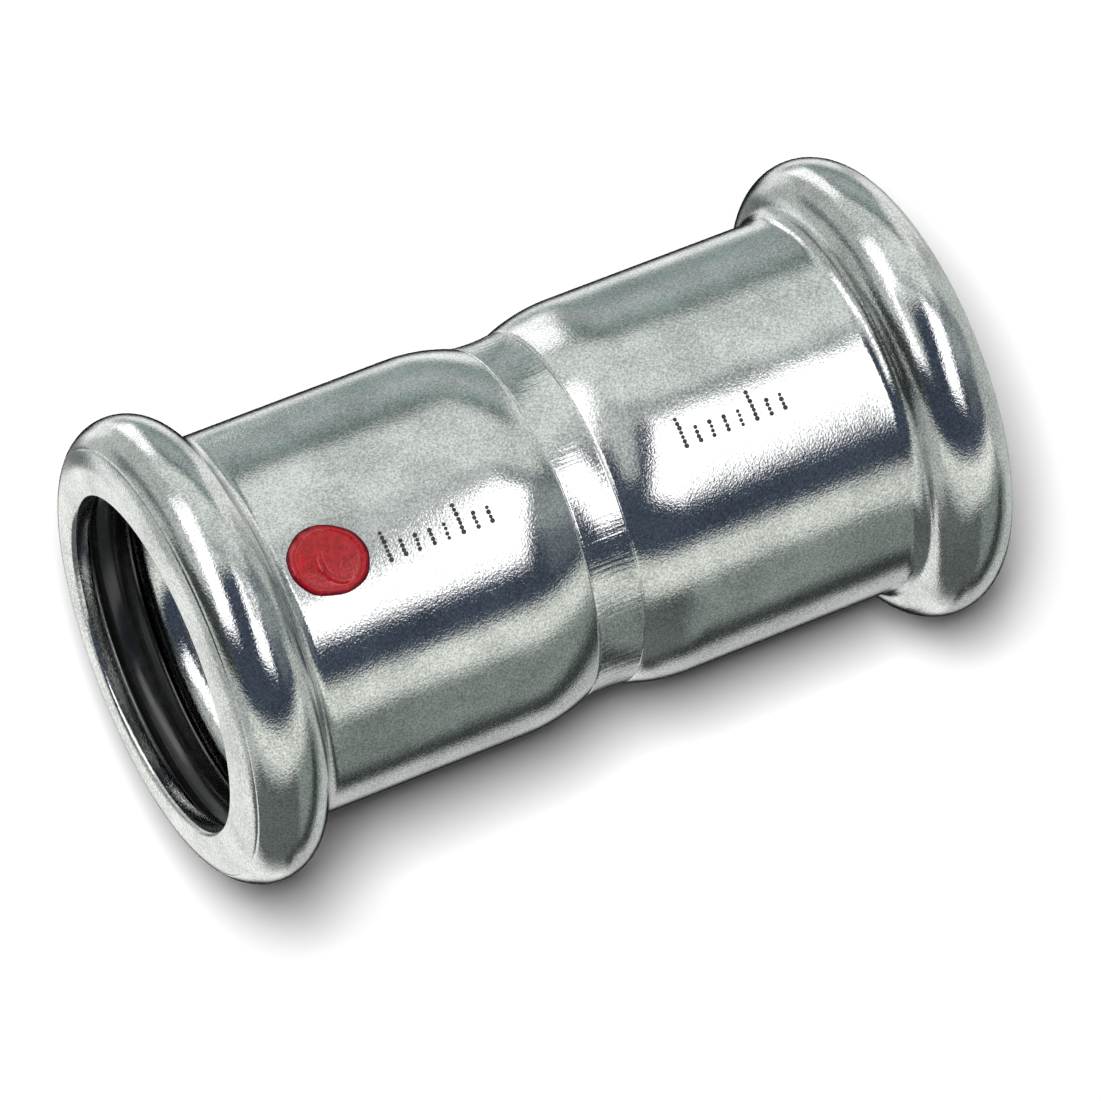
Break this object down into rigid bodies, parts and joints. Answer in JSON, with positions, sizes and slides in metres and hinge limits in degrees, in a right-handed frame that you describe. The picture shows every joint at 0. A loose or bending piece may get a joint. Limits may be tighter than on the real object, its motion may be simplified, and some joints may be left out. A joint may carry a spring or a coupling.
{
  "type": "press-fit pipe coupling",
  "caption": "Straight press-fit pipe coupling: zinc-plated steel tube rolled into sockets, with a hollow bead holding a rubber seal ring at each mouth and a drawn-in pipe stop.",
  "frame": {"origin": "centre of the lower end face, on which the coupling stands", "axes": "+Z along the bore towards the upper mouth, -Y towards the red marking dot on the upper socket"},
  "size_m": [0.031, 0.031, 0.0544],
  "materials": {
    "zinc_plated_steel": "bright zinc plate with a fine grain",
    "black_rubber": "smooth satin black",
    "red_lacquer": "thick glossy lacquer"
  },
  "bodies": {
    "root": {"coupling_body": "zinc_plated_steel", "upper_seal_ring": "black_rubber", "lower_seal_ring": "black_rubber", "marking_dot": "red_lacquer"}
  },
  "joints": []
}
